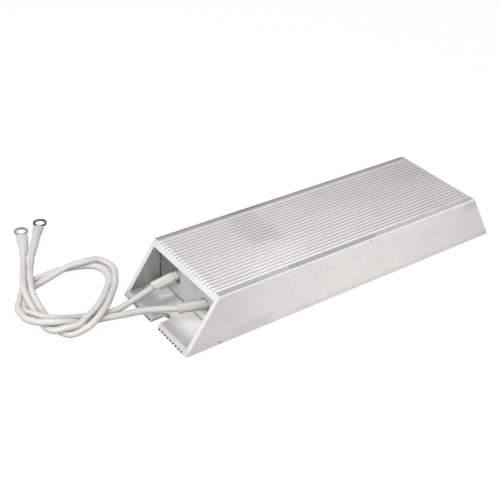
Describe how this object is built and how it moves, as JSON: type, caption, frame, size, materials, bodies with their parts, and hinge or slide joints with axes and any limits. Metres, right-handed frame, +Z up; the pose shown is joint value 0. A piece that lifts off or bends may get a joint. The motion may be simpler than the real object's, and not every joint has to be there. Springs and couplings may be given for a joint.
{
  "type": "braking resistor",
  "caption": "Aluminium-housed braking resistor with ribbed top, sloped open ends, mounting notches in the base and fibreglass leads with ring terminals, tied in a loose knot.",
  "frame": {"origin": "middle of the housing's underside", "axes": "+X along the housing away from the lead end, -Y the side seen in the picture, +Z up from the mounting face"},
  "size_m": [0.2707, 0.148, 0.0296],
  "materials": {
    "housing": "plain extruded aluminium, satin",
    "board": "matte mineral board",
    "mica": "matte mica sheet",
    "cement": "matte cement",
    "ceramic": "unglazed ceramic",
    "wire": "oxidised resistance wire",
    "steel": "plain sheet steel",
    "tin": "tinned copper",
    "lead": "braided fibreglass over wire",
    "sleeve": "fibreglass sleeve",
    "ring_sleeve": "white shrunk sleeve"
  },
  "bodies": {
    "root": {"housing": "housing", "mica_liner": "mica", "filler": "cement", "lead_end_plate": "board", "far_end_plate": "board", "core_front": "ceramic", "core_rear": "ceramic", "winding_front": "wire", "winding_rear": "wire", "lead_band_front": "steel", "lead_band_rear": "steel", "far_band_front": "steel", "far_band_rear": "steel", "link_strap": "steel", "terminal_lug_front": "steel", "terminal_lug_rear": "steel", "splice_front": "tin", "splice_rear": "tin", "splice_sleeve_front": "sleeve", "splice_sleeve_rear": "sleeve", "lead_front": "lead", "lead_rear": "lead", "ring_sleeve_front": "ring_sleeve", "ring_sleeve_rear": "ring_sleeve", "ring_terminal_front": "tin", "ring_terminal_rear": "tin"}
  },
  "joints": []
}
